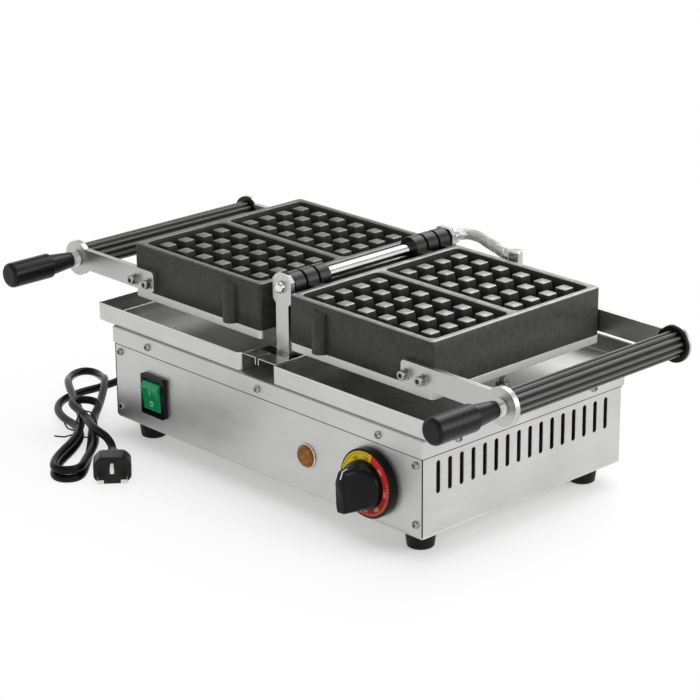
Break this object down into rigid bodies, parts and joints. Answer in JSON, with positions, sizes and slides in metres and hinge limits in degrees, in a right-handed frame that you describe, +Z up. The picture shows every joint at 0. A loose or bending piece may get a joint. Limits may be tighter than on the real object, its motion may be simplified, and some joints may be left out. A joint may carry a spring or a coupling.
{
  "type": "double waffle baker",
  "caption": "Counter-top waffle baker: hinged cast plates with fluted side handles over slide-out drip trays, on a stainless base with rocker switch, pilot lamp and thermostat dial.",
  "frame": {"origin": "on the floor under the middle of the body's outline, without the mains lead", "axes": "+X to the right along the width, +Y from the control panel to the back, +Z up"},
  "size_m": [0.6842, 0.4057, 0.2085],
  "materials": {
    "stainless_sheet": "brushed",
    "tray_stainless": "brushed",
    "arm_steel": "brushed",
    "post_steel": "brushed",
    "cast_iron": "seasoned casting with ground tops",
    "element_sheath": "matt",
    "screw_steel": "zinc plated",
    "bright_chrome": "polished",
    "black_phenolic": "satin moulding",
    "braided_conduit": "woven wire",
    "fitting_steel": "turned",
    "foot_rubber": "matt",
    "cord_rubber": "matt",
    "moulded_black": "moulded",
    "tie_plastic": "plastic coated wire",
    "pin_brass": "nickel plated",
    "control_black": "semi gloss",
    "rocker_green": "translucent moulding",
    "lamp_ring": "polished",
    "lens_amber": "translucent moulding",
    "scale_print": "printed yellow to red",
    "inner_plastic": "moulded"
  },
  "bodies": {
    "base": {"rubber_feet": "foot_rubber", "bottom_plate": "stainless_sheet", "body_shell": "stainless_sheet", "front_panel": "stainless_sheet", "panel_screws": "screw_steel", "top_cover": "stainless_sheet", "cover_screws": "screw_steel", "front_hinge_post": "post_steel", "rear_hinge_post": "post_steel", "post_screws": "screw_steel", "hinge_shaft": "bright_chrome", "switch_housing": "control_black", "lamp_bezel": "lamp_ring", "lamp_lens": "lens_amber", "dial_plate": "control_black", "dial_scale": "scale_print", "thermostat_body": "inner_plastic", "terminal_block": "inner_plastic", "cord_gland": "moulded_black", "mains_cord": "cord_rubber", "cord_hank": "cord_rubber", "cord_tie": "tie_plastic", "mains_plug": "moulded_black", "plug_pins": "pin_brass"},
    "left_plate": {"left_cast_plate": "cast_iron", "left_hinge_knuckles": "cast_iron", "left_heating_element": "element_sheath", "left_bottom_cover": "stainless_sheet", "left_bottom_screws": "screw_steel", "left_rest_stud": "screw_steel", "left_front_arm": "arm_steel", "left_rear_arm": "arm_steel", "left_arm_screws": "screw_steel", "left_handle_bar": "black_phenolic", "left_bar_cap": "black_phenolic", "left_collar": "bright_chrome", "left_grip_knob": "black_phenolic"},
    "right_plate": {"right_cast_plate": "cast_iron", "right_hinge_knuckles": "cast_iron", "right_heating_element": "element_sheath", "right_bottom_cover": "stainless_sheet", "right_bottom_screws": "screw_steel", "right_rest_stud": "screw_steel", "right_front_arm": "arm_steel", "right_rear_arm": "arm_steel", "right_arm_screws": "screw_steel", "right_handle_bar": "black_phenolic", "right_bar_cap": "black_phenolic", "right_collar": "bright_chrome", "right_grip_knob": "black_phenolic", "conduit": "braided_conduit", "conduit_ferrule": "fitting_steel", "conduit_elbow": "fitting_steel"},
    "switch_rocker": {"switch_rocker": "rocker_green"},
    "thermostat_knob": {"thermostat_knob": "control_black", "thermostat_shaft": "screw_steel"},
    "left_tray": {"left_drip_tray": "tray_stainless"},
    "right_tray": {"right_drip_tray": "tray_stainless"}
  },
  "joints": [
    {"name": "left_plate_hinge", "type": "hinge", "parent": "base", "child": "left_plate", "pos_m": [0, 0, 0.1965], "axis": [0, 1, 0], "range_deg": [0, 180]},
    {"name": "right_plate_hinge", "type": "hinge", "parent": "base", "child": "right_plate", "pos_m": [0, 0, 0.1965], "axis": [0, -1, 0], "range_deg": [0, 180]},
    {"name": "switch_rocker_tilt", "type": "hinge", "parent": "base", "child": "switch_rocker", "pos_m": [-0.152, -0.107, 0.057], "axis": [-1, 0, 0], "range_deg": [0, 20]},
    {"name": "thermostat_turn", "type": "hinge", "parent": "base", "child": "thermostat_knob", "pos_m": [0.1497, -0.107, 0.057], "axis": [0, 1, 0], "range_deg": [0, 270]},
    {"name": "left_tray_slide", "type": "slide", "parent": "base", "child": "left_tray", "axis": [-1, 0, 0], "range_m": [0, 0.1]},
    {"name": "right_tray_slide", "type": "slide", "parent": "base", "child": "right_tray", "axis": [1, 0, 0], "range_m": [0, 0.1]}
  ]
}
